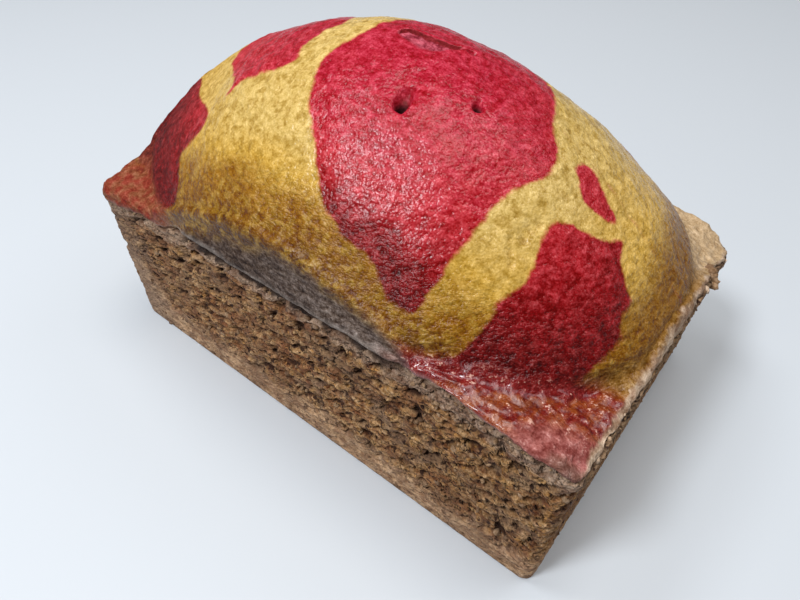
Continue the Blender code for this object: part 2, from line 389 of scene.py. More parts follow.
def closed_curve(points, steps=6):
    """Points along a smooth closed curve through the given ones."""
    points = np.array(points, float)
    before, after = np.roll(points, 1, 0), np.roll(points, -1, 0)
    beyond = np.roll(points, -2, 0)
    curve = []
    for share in np.arange(steps) / steps:
        pull = (after - before) * share
        bend = (2 * before - 5 * points + 4 * after - beyond) * share ** 2
        turn = (3 * points - before - 3 * after + beyond) * share ** 3
        curve.append(points + 0.5 * (pull + bend + turn))
    return np.stack(curve, 1).reshape(-1, 2)


def depth_inside(u, v, outline):
    """Distance to a closed outline, positive inside it."""
    ends = np.roll(outline, -1, 0)
    best = np.full(len(u), 1e9)
    inside = np.zeros(len(u), bool)
    for (u0, v0), (u1, v1) in zip(outline, ends):
        run_u, run_v = u1 - u0, v1 - v0
        share = ((u - u0) * run_u + (v - v0) * run_v) / max(run_u ** 2 + run_v ** 2, 1e-18)
        share = np.clip(share, 0.0, 1.0)
        best = np.minimum(best, (u - u0 - share * run_u) ** 2 + (v - v0 - share * run_v) ** 2)
        if v0 != v1:
            crosses = ((v0 > v) != (v1 > v)) & (u < run_u * (v - v0) / run_v + u0)
            inside ^= crosses
    return np.where(inside, 1.0, -1.0) * np.sqrt(best)


def swirl_depth(x, y, z):
    """How far inside the nearest red swirl each place is; negative outside."""
    u, v = unrolled(x, y, z)
    u = u + 0.8 * MM * bumps(x, y, z, 7, 31) + 0.3 * MM * bumps(x, y, z, 2.5, 33)
    v = v + 0.8 * MM * bumps(x, y, z, 7, 32) + 0.3 * MM * bumps(x, y, z, 2.5, 34)
    deepest = np.full(len(x), -1.0)
    for outline in SWIRLS.values():
        curve = MM * closed_curve(outline)
        curve_z = top_height(curve[:, 0], curve[:, 1])
        curve_u, curve_v = unrolled(curve[:, 0], curve[:, 1], curve_z)
        deepest = np.maximum(deepest, depth_inside(u, v, np.column_stack([curve_u, curve_v])))
    return deepest


# --- Relief of the crust ------------------------------------------------------------------
# Where the pressed band begins under the shoulder, along X in millimetres.
BAND_START = ((-46, 7.5), (-24, 4.6), (0, 2.6), (20, 1.0), (40, -0.5))

# How far down smooth skin clings to the crumb below the near lip, along X in millimetres.
SKIN_DEPTH = ((-84, 3.5), (-54, 3.5), (-44, 6.2), (0, 6.8), (20, 8.0), (44, 7.5), (60, 7.0), (84, 5.0))

# Burst bubbles that are large enough to list one by one: x, y, radius and depth in millimetres.
BURSTS = ((22.7, -7.6, 1.1, 3.4), (22.2, -5.8, 0.6, 0.7), (11.5, 6.9, 0.8, 1.3), (10.8, 6.4, 0.6, 0.9),
          (6.0, -9.1, 0.6, 0.9), (-3.9, -13.1, 0.55, 0.8), (-2.5, -17.8, 0.5, 0.6), (46.6, -22.0, 1.1, 1.0),
          (46.4, -19.2, 1.2, 1.0), (47.6, -17.0, 1.0, 0.9), (45.6, -26.0, 1.0, 0.8), (47.1, -27.4, 0.9, 0.8),
          (44.6, -24.2, 0.8, 0.6), (12.3, -11.5, 0.5, 0.5), (19.9, -12.9, 0.6, 0.9), (21.0, -12.2, 0.5, 0.7),
          (-30.0, -25.0, 0.6, 0.5), (-60.5, -43.6, 0.9, 1.3))
BUBBLE_COUNT = 90


def bursts(x, y):
    """Burst bubbles: the placed ones, and small ones scattered over the crust."""
    placed = list(BURSTS)
    draw = np.random.default_rng(7)
    for _ in range(BUBBLE_COUNT):
        placed.append((draw.uniform(-76, 76), draw.uniform(-46, 46),
                       draw.uniform(0.3, 0.6), draw.uniform(0.2, 0.55)))
    depth = np.zeros(len(x))
    for at_x, at_y, radius, deep in placed:
        away = np.hypot(x - MM * at_x, y - MM * at_y)
        near = away < 3 * MM * radius
        depth[near] += MM * deep * np.exp(-(away[near] / (MM * radius)) ** 3)
    return depth


def turned(x, y, at, way):
    """Distances along and across a way in plan, from a place on it."""
    return way[0] * (x - at[0]) + way[1] * (y - at[1]), way[1] * (x - at[0]) - way[0] * (y - at[1])


def tester_hole(x, y):
    """A hole bored in from the near side: a long funnel, the deep core at its near end, a dimple."""
    along, across = turned(x, y, HOLE_AT, HOLE_WAY)
    wobble = 1.0 + 0.15 * bumps(x, y, 0 * x, 1.6, 41)
    funnel = np.hypot(along / (3.3 * MM), across / (1.9 * MM)) * wobble
    core = np.hypot((along + 1.5 * MM) / (1.5 * MM), across / (1.35 * MM)) * wobble
    hole = 2.2 * MM * np.exp(-funnel ** 4) + 6.5 * MM * np.exp(-core ** 4)
    dimple = np.hypot(x - HOLE_AT[0] + 2.6 * MM, y - HOLE_AT[1] - 2.6 * MM) / (5.0 * MM)
    return hole, 0.9 * MM * np.exp(-dimple ** 2)


# The crescent tear near the peak: its far lip and its near edge in plan, in millimetres.
TEAR_FAR = ((-6.8, -0.4), (-6.0, 1.4), (-4.8, 2.8), (-2.8, 3.5), (0, 3.7), (2.6, 3.9), (4.9, 4.1),
            (7.2, 4.9), (8.6, 5.8), (10, 7.2))
TEAR_NEAR = ((-6.8, -0.4), (-5, -1.7), (-2.7, -2.5), (0, -2.8), (2, -2.8), (4.2, -2.1), (5.8, -0.4),
             (6.8, 2.0), (7.6, 3.4), (8.8, 4.9), (10, 6.8))


def crown_tear(x, y):
    """A far lip over a crumbly floor that slopes up nearwards: depth, floor, and the deepest line under the
    far lip, where a shadow is painted.
    """
    wander = 0.35 * MM * bumps(x, y, 0 * x, 2.5, 42)
    far = along_x(TEAR_FAR, x) + wander
    near = along_x(TEAR_NEAR, x) - 1.5 * wander
    open_share = step_mm(0.2, 1.8, far - near)
    share = np.clip((y - near) / np.maximum(far - near, 0.1 * MM), 0.0, 1.0)
    step = step_mm(0.45, -0.45, y - far)
    crumbly = 0.35 * MM * bumps(x, y, 0 * x, 0.9, 43) * smoothstep(0.1, 0.4, share)
    sunk = open_share * step * (0.8 * MM * smoothstep(0.0, 0.45, share) + crumbly)
    lifted = 0.2 * MM * open_share * np.exp(-((y - far - 1.3 * MM) / (1.1 * MM)) ** 2)
    wall = step_mm(0.6, 0.3, y - far)
    # the line under the far lip, coloured dark red as a painted shadow
    deepest = step_mm(0.8, 0.3, np.abs(y - far)) * open_share
    return sunk - lifted, open_share * wall * smoothstep(0.02, 0.35, share), deepest


# On the near right ledge: the middle of the fan of folds, and the deepest fold with its way.
FAN_CENTRE = (33 * MM, -55 * MM)
FOLD_AT, FOLD_WAY = (75.7 * MM, -28.0 * MM), (0.52, 0.86)


def ledge_folds(x, y, z, ledge):
    """Folds of the skin on the ledges; on the near right one they fan out from the lip's end."""
    wander = 1.6 * bumps(x, y, 0 * x, 8, 65)
    turn = np.arctan2(y - FAN_CENTRE[1], x - FAN_CENTRE[0])
    fan = np.sin(30.0 * turn + wander) * step_mm(66, 50, x) * step_mm(34, 40, x)
    fan = fan * (y < 0.0)
    lumps = 0.55 * bumps(0.7 * x, 1.2 * y, 0.5 * z, 4.5, 63) + 0.38 * bumps(x, y, z, 2.0, 64)
    lumps = lumps + 0.26 * bumps(x, y, z, 1.2, 70)
    along, off = turned(x, y, FOLD_AT, FOLD_WAY)
    off = off + 0.8 * MM * bumps(x, y, 0 * x, 5, 68)
    fold = np.exp(-(off / (1.6 * MM)) ** 2 - (along / (7.5 * MM)) ** 4)
    return MM * (ledge * (lumps + 0.35 * fan) - 1.1 * fold)


def make_crust():
    piece = to_object(plain_crust(), "loaf_crust")
    plain = corners_of(piece)
    s, t = plain[:, 0], plain[:, 1]
    row = np.rint(-plain[:, 2]).astype(int)
    lid = np.maximum(np.abs(s), np.abs(t)) < 0.9999
    shown, proud, crease, top, edge, lip_base = rim_lines(s, t)

    # Down the rim: the round shoulder, the pressed wall, a curled lower edge, then inwards.
    drop = np.minimum(0.6 * (top - edge), SHOULDER_DROP)
    turn = 0.5 * math.pi * np.clip(row / SHOULDER_ROWS, 0.0, 1.0)
    down = np.clip((row - SHOULDER_ROWS) / (RIM_ROWS - SHOULDER_ROWS), 0.0, 1.0)
    out = SHOULDER * (np.sin(turn) - 1.0) + proud * smoothstep(0.0, 1.0, down)
    height = top - drop * (1.0 - np.cos(turn))
    height = height + (lip_base - height) * down
    out = out - 0.7 * MM * (1.0 - np.clip((height - lip_base) / MM, 0.0, 1.0)) ** 2 * (down > 0.0)
    tucked = row == RIM_ROWS + 1
    hidden = row == RIM_ROWS + 2
    out = np.where(tucked, -crease - 0.8 * MM, out)
    height = np.where(tucked, lip_base - 0.2 * MM, height)
    out = np.where(hidden, -7 * MM, out)
    height = np.where(hidden, lip_base - 3 * MM, height)
    x, y = plan_point(s, t, np.where(lid, -SHOULDER, out))
    height = np.where(lid, top_height(x, y), height)
    x, y = break_off(x, y, height)
    set_corners(piece, np.column_stack([x, y, height]))

    ledge = step_mm(4.0, -0.5, dome_height(x, y) - ledge_height(x, y))
    run_over = step_mm(-62, -70, x) * step_mm(-44, -34, y) * step_mm(0, -10, y)
    ledge = ledge * (1.0 - 0.8 * run_over)      # the left swirl runs out over the ledge
    wander = 1.6 * MM * bumps(x, y, height, 7, 66) + 0.3 * MM * bumps(x, y, height, 2.2, 67)
    start = along_x(BAND_START, x)
    wall = smoothstep(start - 0.5 * MM, start + 4.5 * MM, top - height + wander) * (row > 0)
    set_marks(piece, x, y, height, wall * smoothstep(0.0, 0.35, shown), ledge)
    # the crust's lower edge: partly its own pale edge, partly a painted highlight along the lip's lower edge
    low = height - lip_base + 0.9 * MM * bumps(x, y, height, 3, 69)
    hem_and_highlight = step_mm(1.5, 0.5, low - 0.8 * MM * shown) * (0.55 + 0.45 * shown)
    set_value(piece, "hem_and_highlight", hem_and_highlight * (row > 0))
    raise_skin(piece, x, y, height, shown * (row >= SHOULDER_ROWS), ledge, row <= RIM_ROWS, lid)
    piece.data.materials.append(crust_material())
    ride_as_loaf(piece)
    return piece


def set_marks(piece, x, y, z, band, ledge):
    """Where the crust is red, pressed, toasted, dusty, tan or dull, for its material."""
    near_top = top_height(x, 0 * x - 0.5 * WIDTH)
    far_top = top_height(x, 0 * x + 0.5 * WIDTH)
    foot = ledge_height(x, y)
    foot = foot + (near_top - foot) * smoothstep(-0.55, -0.85, 2.0 * y / WIDTH)
    foot = foot + (far_top - foot) * smoothstep(0.55, 0.85, 2.0 * y / WIDTH)
    wander = 2.2 * MM * bumps(x, y, 0 * x, 7, 52) + 0.9 * MM * bumps(x, y, 0 * x, 2.5, 54)
    corner = np.hypot((x - 80 * MM) / 1.35, y + 53 * MM) + wander
    dusty = 0.8 * step_mm(13.0, 8.0, corner)
    rust = step_mm(28, 36, x) * step_mm(-26, -33, y + 0.25 * (66 * MM - x) + wander)
    tan = step_mm(64, 74, x) * step_mm(16, 34, y)
    tan = np.maximum(tan, step_mm(26, 40, y))
    rise = z - foot
    flare = step_mm(60, 74, x) * step_mm(-26, -10, y)
    flare = flare * step_mm(18, 6, rise + 2 * MM * bumps(x, y, z, 7, 53))
    wander = 1.2 * MM * bumps(x, y, 0 * x, 4, 55) + 0.7 * MM * bumps(x, y, z, 1.4, 56)
    fringe = step_mm(81.0, 82.0, x + wander) * step_mm(-53, -46, y)
    ear = step_mm(-42, -52, x) * step_mm(30, 6, y)
    apron = step_mm(-1, -16, dome_height(x, y) - ledge_height(x, y))
    marks = {"swirl": swirl_depth(x, y, z), "apron": apron, "band": band, "rise": rise, "ledge": ledge,
             "fringe": fringe, "corner": corner, "dusty": dusty, "rust": rust, "ear": ear, "tan": tan,
             "flare": flare}
    for name, values in marks.items():
        set_value(piece, name, values)


def raise_skin(piece, x, y, z, pressed, ledge, skin, lid):
    """Pushes the crust in and out along its normals."""
    normal = normals_of(piece)
    swell = 0.7 * MM * bumps(x, y, 0 * x, 16, 4) + 0.26 * MM * bumps(x, y, z, 5, 60)
    pebbles = 0.17 * MM * bumps(x, y, z, 2.4, 61) + 0.10 * MM * bumps(x, y, z, 1.2, 62)
    calm = 1.0 - 0.7 * pressed
    push = np.where(skin, swell + calm * (pebbles + ledge_folds(x, y, z, ledge)), 0.0)
    places = np.column_stack([x, y, z]) + normal * push[:, None]
    hole, dimple = tester_hole(x, y)
    burst = bursts(x, y)
    torn, torn_floor, tear_shadow = crown_tear(x, y)
    places[:, 2] -= np.where(lid, hole + dimple + burst + torn, 0.0)
    set_corners(piece, places)
    # painted shade: the tester's hole and the burst bubbles, marked by depth, are coloured near black in
    # their depths
    set_value(piece, "hole_shade", np.where(lid, np.clip(hole / (3.5 * MM) + burst / (2.4 * MM), 0.0, 1.0), 0.0))
    set_value(piece, "torn", np.where(lid, torn_floor, 0.0))
    set_value(piece, "tear shadow", np.where(lid, tear_shadow, 0.0))


# --- Relief of the crumb ------------------------------------------------------------------
def make_crumb():
    piece = to_object(plain_crumb(), "loaf_crumb")
    plain = corners_of(piece)
    s, t = plain[:, 0], plain[:, 1]
    row = np.rint(-plain[:, 2]).astype(int)
    shown, proud, crease, top, edge, lip_base = rim_lines(s, t)

    # Rows 0 and 1 lie hidden under the crust; then the wall, the fillet and the base.
    share = np.clip((row - 2) / CRUMB_ROWS, 0.0, 1.0)
    height = edge + 0.2 * MM + (FILLET - edge) * share
    out = -TAPER * share - 0.2 * MM * (1.0 - shown) * smoothstep(0.03, 0.0, share)
    out = out - crease * np.exp(-((edge - height) / (2.4 * MM)) ** 2)
    out = np.where(row == 0, -8 * MM, out)
    out = np.where(row == 1, -1.6 * MM - 1.3 * crease, out)
    height = np.where(row <= 1, edge + 0.3 * MM, height)
    bend = row - 2 - CRUMB_ROWS
    out = np.where(bend == 1, -TAPER - 0.3 * FILLET, out)
    height = np.where(bend == 1, 0.3 * FILLET, height)
    out = np.where(bend == 2, -TAPER - FILLET, out)
    height = np.where(bend == 2, 0.0, height)
    x, y = plan_point(s, t, out)

    wall = (row >= 2) & (bend <= 1)
    depth, pore, clump = crumb_relief(x, y, height)
    fringe = 1.1 * MM * step_mm(7, 1, edge - height) * smoothstep(0.97, 0.999, s)
    fade = step_mm(0, 1.5, height) * np.where(wall, 1.0, 0.0)
    x, y = plan_point(s, t, out + (fringe - depth) * fade)
    x, y = break_off(x, y, height)
    set_corners(piece, np.column_stack([x, y, height]))
    # where the pores are open; the material colours them dark as painted shade
    set_value(piece, "pore", pore * fade)
    set_value(piece, "clump", clump)
    # painted shadow: the crumb just under the lip is coloured near black where the lip's shadow falls
    lip_shadow = np.clip(crease / (1.8 * MM), 0.0, 1.0) * step_mm(4.4, 3.2, edge - height)
    set_value(piece, "lip_shadow", lip_shadow)
    over = edge - height - along_x(SKIN_DEPTH, x) + 1.5 * MM * bumps(x, y, height, 4, 78)
    skin = smoothstep(-0.9, -0.99, t) * step_mm(1.2, -1.2, over)
    set_value(piece, "skin", skin)
    set_value(piece, "below edge", edge - height)
    piece.data.materials.append(crumb_material())
    ride_as_loaf(piece)
    return piece


def crumb_relief(x, y, z):
    """How far each place of the torn crumb lies below the wall, and how open its pore is."""
    slant = z - 0.30 * x - 1.5 * x ** 2      # the strands rise to the right, steeper there
    long_x, long_y = 0.42 * x, 0.42 * y
    broad = bumps(long_x, long_y, z, 7, 71)
    tears = smoothstep(0.08, 0.40, bumps(long_x, long_y, slant, 2.4, 72))
    slits = smoothstep(0.10, 0.40, bumps(long_x, long_y, slant, 1.35, 76))
    cell, draw = cells(0.6 * x, 0.6 * y, slant, 1.7, 73)
    holes = smoothstep(0.50, 0.20, cell) * (draw > 0.45)
    clumps = smoothstep(0.05, 0.50, bumps(0.7 * x, 0.7 * y, slant, 1.6, 77))
    rough = 1.0 - 0.75 * step_mm(15, 8, z + 5 * MM * broad + 0.05 * x)
    at_end = 0.65 * smoothstep(0.5 * LENGTH - 4 * MM, 0.5 * LENGTH - 1 * MM, x)
    at_end = np.maximum(at_end, 0.9 * step_mm(-66, -76, x))
    rough = rough * (1.0 - 0.8 * at_end)
    depth = 0.25 * MM + 0.45 * MM * broad * rough + 0.22 * MM * bumps(x, y, z, 1.0, 75)
    depth = depth + rough * MM * (1.9 * tears + 1.2 * holes + 0.8 * slits - 0.6 * clumps)
    pore = np.clip(0.9 * tears + 0.8 * holes + 0.6 * slits - 0.6 * clumps, 0.0, 1.2) * rough
    return depth, pore, clumps * rough


# --- Crumbs that cling to the loaf --------------------------------------------------------
CRUMB_SITES = 620            # loose crumbs along the crust's edge, the base and the walls
CORNER_CRUMBS = 190          # pale ones along the right end's upper edge


def wall_place(s, t, down_from_edge, out):
    """A place on the wall, a distance below the crust's edge."""
    x, y = plan_point(np.array([s]), np.array([t]), np.array([out]))
    *_, edge, _ = rim_lines(np.array([s]), np.array([t]))
    return Vector((x[0], y[0], edge[0] - down_from_edge))


def grow_crumb(mesh, draw, place, size, tone):
    """One crumb: a small ball, squeezed and turned at random."""
    turn = Matrix.Rotation(draw.uniform(0, math.tau), 4, Vector(draw.uniform(-1, 1, 3)).normalized())
    squeeze = Matrix.Diagonal((draw.uniform(0.8, 1.5), draw.uniform(0.7, 1.1), draw.uniform(0.55, 0.9), 1.0))
    made = bmesh.ops.create_icosphere(mesh, subdivisions=1, radius=size,
                                      matrix=Matrix.Translation(place) @ turn @ squeeze)
    layer = mesh.verts.layers.float["tone"]
    for corner in made["verts"]:
        corner.co += Vector(size * draw.uniform(-0.22, 0.22, 3))
        corner[layer] = tone


def scatter_on_walls(mesh, draw):
    for _ in range(CRUMB_SITES):
        kind = draw.uniform()
        side = draw.uniform()
        run = draw.uniform(-0.995, 0.995)
        s, t = ((run, -1.0), (run, -1.0), (1.0, run), (run, 1.0), (-1.0, run))[int(side * 5)]
        if kind < 0.45 and t == -1.0 and abs(run) < 0.6:
            continue
        if kind < 0.45:
            down, size = draw.uniform(-0.2 * MM, 2.5 * MM), draw.uniform(0.35, 0.8) * MM
        elif kind < 0.9:
            down, size = draw.uniform(2 * MM, 48 * MM), draw.uniform(0.45, 1.2) * MM
        else:
            down, size = draw.uniform(46 * MM, 58 * MM), draw.uniform(0.35, 0.7) * MM
        sunk = -0.0135 * down - 0.25 * MM - 0.5 * size
        grow_crumb(mesh, draw, wall_place(s, t, down, sunk), size, draw.uniform(0.0, 0.45))


def fringe_right_end(mesh, draw):
    """The ragged pale fringe where the crust has flaked off along the right end."""
    for _ in range(CORNER_CRUMBS):
        t = draw.uniform(-0.9, 0.98)
        down = draw.uniform(-1.6 * MM, 2.2 * MM)
        place = wall_place(1.0, t, down, draw.uniform(-1.4 * MM, 0.5 * MM) - max(0.0, -down))
        grow_crumb(mesh, draw, place, draw.uniform(0.35, 0.95) * MM, draw.uniform(0.5, 1.0))


def hang_flap(mesh, draw):
    """A curl of torn skin that hangs from the right end, near its far corner."""
    for share in np.linspace(0.0, 1.0, 9):
        place = Vector((82.0 + 3.2 * share, 33.0 - 2.6 * share, 57.2 - 3.6 * share ** 1.5)) * MM
        place += Vector(draw.uniform(-0.3, 0.3, 3)) * MM
        grow_crumb(mesh, draw, place, (1.7 - 0.4 * share) * MM, 0.2 + 0.2 * share)


def make_crumbs():
    mesh = bmesh.new()
    mesh.verts.layers.float.new("tone")
    draw = np.random.default_rng(12)
    scatter_on_walls(mesh, draw)
    fringe_right_end(mesh, draw)
    hang_flap(mesh, draw)
    bmesh.ops.recalc_face_normals(mesh, faces=mesh.faces)
    piece = to_object(mesh, "loaf_crumbs")
    places = corners_of(piece)
    x, y = break_off(places[:, 0], places[:, 1], places[:, 2])
    set_corners(piece, np.column_stack([x, y, np.maximum(places[:, 2], 0.1 * MM)]))
    piece.data.materials.append(crumbs_material())
    ride_as_loaf(piece)
    return piece


# --- Node helpers -------------------------------------------------------------------------
EVEN_STEPS = 2.2             # the power that turns even steps of lightness into amounts of light


def fill(tree, node, inputs):
    """Sets inputs, by name or number, to constants, or links other sockets to them."""
    for name, value in inputs.items():
        if isinstance(value, bpy.types.NodeSocket):
            tree.links.new(value, node.inputs[name])
        else:
            node.inputs[name].default_value = value


def add(tree, kind, inputs=None, **settings):
    made = tree.nodes.new(kind)
    for name, value in settings.items():
        setattr(made, name, value)
    fill(tree, made, inputs or {})
    return made


def mark(tree, name):
    return add(tree, "ShaderNodeAttribute", attribute_name=name).outputs["Fac"]


def sums(tree, operation, a, b=0.0, c=0.0, clamp=False):
    return add(tree, "ShaderNodeMath", {0: a, 1: b, 2: c}, operation=operation, use_clamp=clamp).outputs[0]


def times(tree, a, b):
    return sums(tree, "MULTIPLY", a, b)


def scale_add(tree, value, factor, added):
    return sums(tree, "MULTIPLY_ADD", value, factor, added)


def larger(tree, a, b):
    return sums(tree, "MAXIMUM", a, b)


def vectors(tree, operation, inputs):
    return add(tree, "ShaderNodeVectorMath", inputs, operation=operation).outputs[0]


def coordinate(tree, place, axis):
    return add(tree, "ShaderNodeSeparateXYZ", {0: place}).outputs[axis]


def ramp(tree, value, start, end, low=0.0, high=1.0):
    """A value brought smoothly from low to high between start and end."""
    inputs = {"Value": value, "From Min": start, "From Max": end, "To Min": low, "To Max": high}
    return add(tree, "ShaderNodeMapRange", inputs, interpolation_type="SMOOTHSTEP").outputs["Result"]


def blend(tree, share, a, b):
    return add(tree, "ShaderNodeMix", {0: share, 6: a, 7: b}, data_type="RGBA", clamp_factor=True).outputs[2]


def stops(tree, value, keys):
    """A colour that runs through keys of value and colour."""
    first = keys[0][0]
    span = keys[-1][0] - first
    made = add(tree, "ShaderNodeValToRGB", {"Fac": scale_add(tree, value, 1.0 / span, -first / span)})
    band = made.color_ramp.elements
    band[0].color = keys[0][1]
    band[1].color = keys[-1][1]
    for at, tint in keys[1:-1]:
        band.new((at - first) / span).color = tint
    return made.outputs["Color"]


def grain(tree, place, size, detail=2.0, rough=0.5):
    """Noise between 0 and 1 with features of the given size in metres."""
    inputs = {"Vector": place, "Scale": 1.0 / size, "Detail": detail, "Roughness": rough}
    return add(tree, "ShaderNodeTexNoise", inputs).outputs["Fac"]


def shift_lightness(tree, tint, shade, amount, offset=0.0):
    """A tint made paler and darker by a signed shade, in even steps of lightness."""
    tone = add(tree, "ShaderNodeGamma", {"Color": tint, "Gamma": 1.0 / EVEN_STEPS}).outputs["Color"]
    moved = vectors(tree, "ADD", {0: tone, 1: scale_add(tree, shade, amount, offset)})
    kept = vectors(tree, "MAXIMUM", {0: moved, 1: (0.0, 0.0, 0.0)})
    return add(tree, "ShaderNodeGamma", {"Color": kept, "Gamma": EVEN_STEPS}).outputs["Color"]


def here(tree):
    return add(tree, "ShaderNodeTexCoord").outputs["Object"]


def colour(red, green, blue):
    return (red, green, blue, 1.0)


def new_material(name):
    material = bpy.data.materials.new(name)
    material.use_nodes = True
    tree = material.node_tree
    return material, tree, tree.nodes["Principled BSDF"]


def put_bump(tree, shader, height, distance, strength=1.0):
    bump = add(tree, "ShaderNodeBump", {"Height": height, "Strength": strength, "Distance": distance})
    fill(tree, shader, {"Normal": bump.outputs["Normal"]})


# --- The grain and its painted light and shade, that crust, crumb and loose crumbs share ---
def grain_and_painted_light():
    """A group: pebbles and level creases as heights, and both as one signed shade: fine grain, painted
    highlights on the pebbles' tops and painted shade in the creases.
    """
    group = bpy.data.node_groups.new("grain and painted light", "ShaderNodeTree")
    group.interface.new_socket("Place", in_out="INPUT", socket_type="NodeSocketVector")
    group.interface.new_socket("Grain Size", in_out="INPUT", socket_type="NodeSocketFloat")
    for name in ("Pebbles", "Creases", "Shade"):
        group.interface.new_socket(name, in_out="OUTPUT", socket_type="NodeSocketFloat")
    given, result = add(group, "NodeGroupInput"), add(group, "NodeGroupOutput")
    scale = sums(group, "DIVIDE", 1.0, given.outputs["Grain Size"])
    place = vectors(group, "SCALE", {0: given.outputs["Place"], "Scale": scale})
    pebbles = add(group, "ShaderNodeTexVoronoi", {"Vector": place, "Scale": 1.0})
    rounded = sums(group, "SUBTRACT", 0.8, pebbles.outputs["Distance"])
    height = scale_add(group, rounded, 0.35, times(group, grain(group, place, 1.3, 1.0), 0.65))
    level = vectors(group, "MULTIPLY", {0: place, 1: (0.45, 0.45, 1.0)})
    creases = grain(group, level, 1.4, 3.0, 0.65)
    # painted highlights on the pebbles' tops, with fine grain
    specks = scale_add(group, grain(group, place, 0.6), 2.8, -2.21)
    specks = scale_add(group, height, 1.8, specks)
    # painted shade in the creases, added to the specks
    shade = scale_add(group, scale_add(group, creases, 1.0, -0.5), 5.0, specks)
    fill(group, result, {"Pebbles": height, "Creases": creases, "Shade": shade})
    return group


GRAIN_AND_PAINTED_LIGHT = grain_and_painted_light()


def place_grain(tree, place, size):
    made = add(tree, "ShaderNodeGroup", node_tree=GRAIN_AND_PAINTED_LIGHT)
    fill(tree, made, {"Place": place, "Grain Size": size})
    return made.outputs["Pebbles"], made.outputs["Creases"], made.outputs["Shade"]


# --- Materials ----------------------------------------------------------------------------
GOLD_BY_RISE = ((0.0, colour(0.10, 0.036, 0.002)), (0.10, colour(0.165, 0.060, 0.001)),
                (0.30, colour(0.24, 0.095, 0.002)), (0.56, colour(0.53, 0.305, 0.050)),
                (1.0, colour(0.60, 0.40, 0.120)))
FULL_RISE = 30 * MM          # the height above the foot at which the gold is palest
RED_BY_RISE = ((0.0, colour(0.085, 0.0013, 0.0008)), (10 * MM, colour(0.15, 0.002, 0.002)),
               (18 * MM, colour(0.25, 0.007, 0.009)), (28 * MM, colour(0.43, 0.023, 0.030)),
               (48 * MM, colour(0.385, 0.013, 0.030)))


def gold_crust(tree, rise, along, broad, blots, shade):
    share = scale_add(tree, broad, 0.45, scale_add(tree, rise, 1.0 / FULL_RISE, -0.225))
    gold = stops(tree, share, GOLD_BY_RISE)
    gold = blend(tree, ramp(tree, blots, 0.46, 0.62, 0.0, 0.6), gold, colour(0.33, 0.18, 0.020))
    gold = blend(tree, times(tree, mark(tree, "flare"), 0.8), gold, colour(0.20, 0.080, 0.005))
    # painted light: the upper gold is made paler towards the right end
    paler = times(tree, ramp(tree, along, 44 * MM, 68 * MM, 0.0, 0.06), ramp(tree, rise, 8 * MM, 18 * MM))
    return shift_lightness(tree, gold, shade, ramp(tree, rise, 22 * MM, 8 * MM, 0.08, 0.10), paler)


def red_crust(tree, rise, mid, shade):
    share = scale_add(tree, mid, 26 * MM, sums(tree, "SUBTRACT", rise, 13 * MM))
    return shift_lightness(tree, stops(tree, share, RED_BY_RISE), shade, 0.11)


def baked_ledge(tree, mid, broad, shade):
    """The toasted ledge: rusty at the near corners, brown below gold, tan on the far right."""
    rusty = blend(tree, ramp(tree, mid, 0.34, 0.68), colour(0.17, 0.008, 0.003), colour(0.26, 0.052, 0.006))
    rusty = blend(tree, ramp(tree, broad, 0.50, 0.68, 0.0, 0.7), rusty, colour(0.10, 0.012, 0.005))
    outwards = scale_add(tree, mid, 0.6, mark(tree, "apron"))
    rusty = blend(tree, ramp(tree, outwards, 0.40, 0.90), colour(0.17, 0.005, 0.004), rusty)
    baked = blend(tree, mark(tree, "rust"), colour(0.21, 0.095, 0.015), rusty)
    glints = times(tree, mark(tree, "rust"), ramp(tree, shade, 0.55, 1.2, 0.0, 0.6))
    baked = blend(tree, glints, baked, colour(0.62, 0.36, 0.26))
    ruddy = blend(tree, ramp(tree, mid, 0.36, 0.66), colour(0.22, 0.026, 0.010), colour(0.22, 0.066, 0.024))
    baked = blend(tree, mark(tree, "ear"), baked, ruddy)
    baked = blend(tree, mark(tree, "tan"), baked, colour(0.49, 0.33, 0.18))
    pink = blend(tree, ramp(tree, mid, 0.36, 0.64), colour(0.20, 0.045, 0.036), colour(0.38, 0.125, 0.112))
    pink = blend(tree, ramp(tree, mark(tree, "corner"), 6 * MM, 2 * MM), pink, colour(0.15, 0.075, 0.055))
    baked = blend(tree, mark(tree, "dusty"), baked, pink)
    return shift_lightness(tree, baked, shade, 0.095)


